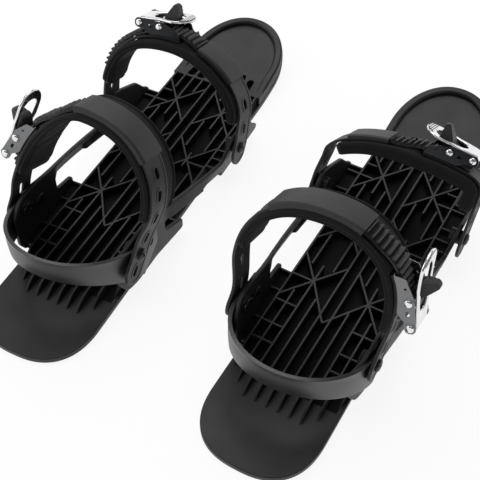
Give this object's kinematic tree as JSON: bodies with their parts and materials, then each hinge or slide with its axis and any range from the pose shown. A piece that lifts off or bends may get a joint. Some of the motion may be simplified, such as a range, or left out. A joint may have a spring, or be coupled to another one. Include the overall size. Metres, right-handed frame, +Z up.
{
  "type": "pair of skiboards",
  "caption": "Pair of short ribbed skiboards with a turned-up tip, raised side rails, a heel loop, and hinged ratchet straps over the ankle and the toes.",
  "frame": {"origin": "on the ground, under the middle of the pair's box, between the two boards", "axes": "+Y towards the tips, +X to the rider's right, +Z up; the boards' tips turn outward by 1.65 degrees each"},
  "size_m": [0.3566, 0.4326, 0.1483],
  "materials": {
    "black_plastic": "satin moulded nylon, faint grain",
    "soft_plastic": "soft satin strap plastic",
    "pad_fabric": "matte cloth over foam",
    "buckle_steel": "satin plated sheet steel",
    "chrome": "polished"
  },
  "bodies": {
    "left_board": {"left_deck": "black_plastic", "left_heel_loop": "soft_plastic", "left_heel_loop_inner_screw": "buckle_steel", "left_heel_loop_outer_screw": "buckle_steel", "left_ankle_plain_side_screw": "buckle_steel", "left_ankle_buckle_side_screw": "buckle_steel", "left_ankle_plain_side_nut": "buckle_steel", "left_ankle_buckle_side_nut": "buckle_steel", "left_toe_plain_side_screw": "buckle_steel", "left_toe_buckle_side_screw": "buckle_steel"},
    "left_ankle_strap": {"left_ankle_slotted_strap": "soft_plastic", "left_ankle_buckle_strap": "soft_plastic", "left_ankle_pad": "pad_fabric", "left_ankle_sleeve": "soft_plastic", "left_ankle_ladder_strap": "soft_plastic", "left_ankle_buckle_plate": "buckle_steel", "left_ankle_lever_pin": "chrome", "left_ankle_pawl_pin": "chrome"},
    "left_ankle_ratchet_lever": {"left_ankle_lever": "chrome"},
    "left_ankle_ratchet_release": {"left_ankle_release_pawl": "black_plastic"},
    "left_toe_strap": {"left_toe_slotted_strap": "soft_plastic", "left_toe_buckle_strap": "soft_plastic", "left_toe_pad": "pad_fabric", "left_toe_sleeve": "soft_plastic", "left_toe_ladder_strap": "soft_plastic", "left_toe_buckle_plate": "buckle_steel", "left_toe_lever_pin": "chrome", "left_toe_pawl_pin": "chrome"},
    "left_toe_ratchet_lever": {"left_toe_lever": "chrome"},
    "left_toe_ratchet_release": {"left_toe_release_pawl": "black_plastic"},
    "right_board": {"right_deck": "black_plastic", "right_heel_loop": "soft_plastic", "right_heel_loop_inner_screw": "buckle_steel", "right_heel_loop_outer_screw": "buckle_steel", "right_ankle_plain_side_screw": "buckle_steel", "right_ankle_buckle_side_screw": "buckle_steel", "right_ankle_plain_side_nut": "buckle_steel", "right_ankle_buckle_side_nut": "buckle_steel", "right_toe_plain_side_screw": "buckle_steel", "right_toe_buckle_side_screw": "buckle_steel"},
    "right_ankle_strap": {"right_ankle_slotted_strap": "soft_plastic", "right_ankle_buckle_strap": "soft_plastic", "right_ankle_pad": "pad_fabric", "right_ankle_sleeve": "soft_plastic", "right_ankle_ladder_strap": "soft_plastic", "right_ankle_buckle_plate": "buckle_steel", "right_ankle_lever_pin": "chrome", "right_ankle_pawl_pin": "chrome"},
    "right_ankle_ratchet_lever": {"right_ankle_lever": "chrome"},
    "right_ankle_ratchet_release": {"right_ankle_release_pawl": "black_plastic"},
    "right_toe_strap": {"right_toe_slotted_strap": "soft_plastic", "right_toe_buckle_strap": "soft_plastic", "right_toe_pad": "pad_fabric", "right_toe_sleeve": "soft_plastic", "right_toe_ladder_strap": "soft_plastic", "right_toe_buckle_plate": "buckle_steel", "right_toe_lever_pin": "chrome", "right_toe_pawl_pin": "chrome"},
    "right_toe_ratchet_lever": {"right_toe_lever": "chrome"},
    "right_toe_ratchet_release": {"right_toe_release_pawl": "black_plastic"}
  },
  "joints": [
    {"name": "right_board_slide", "type": "slide", "parent": "left_board", "child": "right_board", "axis": [0, 1, 0], "range_m": [-0.15, 0.15]},
    {"name": "left_ankle_strap_swing", "type": "hinge", "parent": "left_board", "child": "left_ankle_strap", "pos_m": [-0.10281, -0.11305, 0.0455], "axis": [0.9996, 0.0288, 0], "range_deg": [-8, 30]},
    {"name": "left_ankle_lever_lift", "type": "hinge", "parent": "left_ankle_strap", "child": "left_ankle_ratchet_lever", "pos_m": [-0.16913, -0.09193, 0.08643], "axis": [0.0274, -0.9507, 0.309], "range_deg": [0, 70]},
    {"name": "left_ankle_release_press", "type": "hinge", "parent": "left_ankle_strap", "child": "left_ankle_ratchet_release", "pos_m": [-0.15983, -0.08656, 0.10212], "axis": [-0.0274, 0.9507, -0.309], "range_deg": [0, 10], "stiffness_Nm_per_rad": 0.05, "springref_deg": -17.19},
    {"name": "left_toe_strap_swing", "type": "hinge", "parent": "left_board", "child": "left_toe_strap", "pos_m": [-0.10725, 0.04088, 0.03], "axis": [0.9996, 0.0288, 0], "range_deg": [-15, 20]},
    {"name": "left_toe_lever_lift", "type": "hinge", "parent": "left_toe_strap", "child": "left_toe_ratchet_lever", "pos_m": [-0.14488, 0.06879, 0.11338], "axis": [0.0273, -0.9479, 0.3173], "range_deg": [0, 70]},
    {"name": "left_toe_release_press", "type": "hinge", "parent": "left_toe_strap", "child": "left_toe_ratchet_release", "pos_m": [-0.12591, 0.06967, 0.11439], "axis": [-0.0273, 0.9479, -0.3173], "range_deg": [0, 10], "stiffness_Nm_per_rad": 0.05, "springref_deg": -17.19},
    {"name": "right_ankle_strap_swing", "type": "hinge", "parent": "right_board", "child": "right_ankle_strap", "pos_m": [0.09662, -0.11735, 0.0455], "axis": [0.9996, -0.0288, 0], "range_deg": [-8, 30]},
    {"name": "right_ankle_lever_lift", "type": "hinge", "parent": "right_ankle_strap", "child": "right_ankle_ratchet_lever", "pos_m": [0.16943, -0.09727, 0.08379], "axis": [0.0274, 0.9507, -0.309], "range_deg": [0, 70]},
    {"name": "right_ankle_release_press", "type": "hinge", "parent": "right_ankle_strap", "child": "right_ankle_ratchet_release", "pos_m": [0.16345, -0.09154, 0.1009], "axis": [-0.0274, -0.9507, 0.309], "range_deg": [0, 10], "stiffness_Nm_per_rad": 0.05, "springref_deg": -17.19},
    {"name": "right_toe_strap_swing", "type": "hinge", "parent": "right_board", "child": "right_toe_strap", "pos_m": [0.10106, 0.03658, 0.03], "axis": [0.9996, -0.0288, 0], "range_deg": [-15, 20]},
    {"name": "right_toe_lever_lift", "type": "hinge", "parent": "right_toe_strap", "child": "right_toe_ratchet_lever", "pos_m": [0.15531, 0.06651, 0.08769], "axis": [0.0255, 0.8866, -0.4618], "range_deg": [0, 70]},
    {"name": "right_toe_release_press", "type": "hinge", "parent": "right_toe_strap", "child": "right_toe_ratchet_release", "pos_m": [0.1363, 0.06707, 0.08772], "axis": [-0.0255, -0.8866, 0.4618], "range_deg": [0, 10], "stiffness_Nm_per_rad": 0.05, "springref_deg": -17.19}
  ]
}
